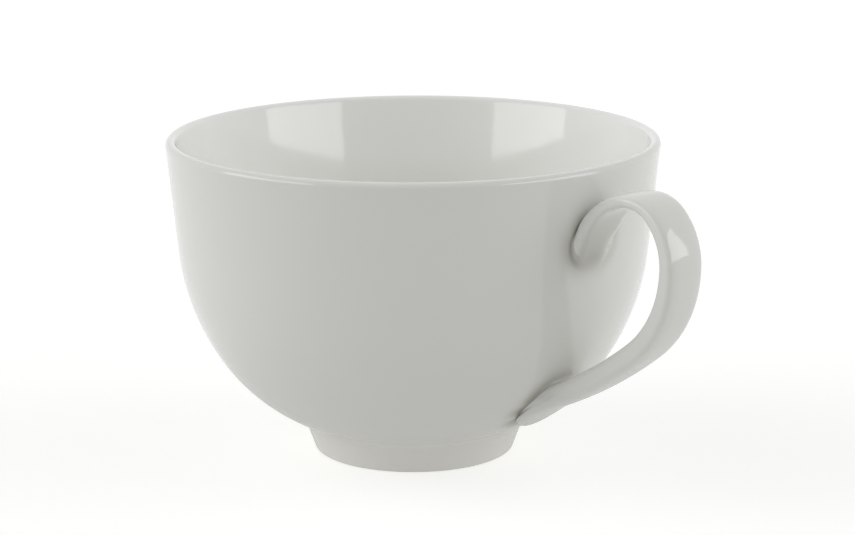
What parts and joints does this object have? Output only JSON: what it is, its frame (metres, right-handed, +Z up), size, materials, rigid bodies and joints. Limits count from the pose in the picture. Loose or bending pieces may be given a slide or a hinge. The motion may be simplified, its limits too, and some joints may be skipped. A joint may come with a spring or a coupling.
{
  "type": "cappuccino cup",
  "caption": "Round porcelain coffee cup with a leaning straight upper wall, a round belly, a tapered foot ring and a flat strap handle at the side.",
  "frame": {"origin": "on the cup's axis, in the plane of the table that it stands on", "axes": "+Z up along the cup's axis, +X from the axis through the middle of the handle"},
  "size_m": [0.1278, 0.105, 0.0683],
  "materials": {
    "porcelain": "clear gloss glaze over white porcelain",
    "slip": "clear gloss glaze over white slip"
  },
  "bodies": {
    "root": {"bowl": "porcelain", "foot_ring": "porcelain", "handle": "porcelain", "foot_slip": "slip", "upper_handle_slip": "slip", "lower_handle_slip": "slip"}
  },
  "joints": []
}
